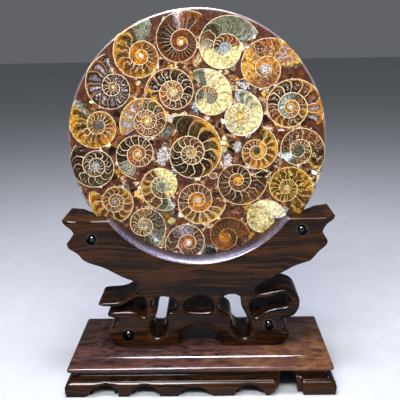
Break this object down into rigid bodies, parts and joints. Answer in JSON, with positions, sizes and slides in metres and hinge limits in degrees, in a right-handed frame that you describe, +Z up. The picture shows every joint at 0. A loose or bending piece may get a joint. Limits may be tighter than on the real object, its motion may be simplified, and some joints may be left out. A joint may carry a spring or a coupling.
{
  "type": "nautilus fossil plate",
  "caption": "Round polished slice of rock packed with ammonite fossils, standing in a carved dark wooden cradle on a moulded base with a scalloped apron.",
  "frame": {"origin": "middle of the footprint of the base, on the floor plane", "axes": "+X to the viewer's right along the long side of the base, +Y away from the viewer through the thickness of the slice, +Z up"},
  "size_m": [0.158, 0.0734, 0.2152],
  "materials": {
    "cement": "polished mauve-brown rock between the fossils",
    "fossil_amber": "polished amber and gold calcite with cream walls",
    "fossil_dark": "polished dark brown chambers with cream walls",
    "fossil_pale": "polished grey-green and pale yellow calcite",
    "wood_dark": "very dark red-brown gloss varnish over straight grain"
  },
  "bodies": {
    "root": {"matrix_disc": "cement", "ammonite_01": "fossil_dark", "ammonite_02": "fossil_amber", "ammonite_03": "fossil_pale", "ammonite_04": "fossil_amber", "ammonite_05": "fossil_amber", "ammonite_06": "fossil_dark", "ammonite_07": "fossil_pale", "ammonite_08": "fossil_pale", "ammonite_09": "fossil_amber", "ammonite_10": "fossil_amber", "ammonite_11": "fossil_amber", "ammonite_12": "fossil_dark", "ammonite_13": "fossil_amber", "ammonite_14": "fossil_dark", "ammonite_15": "fossil_dark", "ammonite_16": "fossil_dark", "ammonite_17": "fossil_pale", "ammonite_18": "fossil_amber", "ammonite_19": "fossil_dark", "ammonite_20": "fossil_amber", "ammonite_21": "fossil_amber", "ammonite_22": "fossil_pale", "ammonite_23": "fossil_dark", "ammonite_24": "fossil_dark", "ammonite_25": "fossil_dark", "cradle": "wood_dark", "base_slab": "wood_dark", "skirt_front": "wood_dark", "skirt_back": "wood_dark", "skirt_left": "wood_dark", "skirt_right": "wood_dark"}
  },
  "joints": []
}
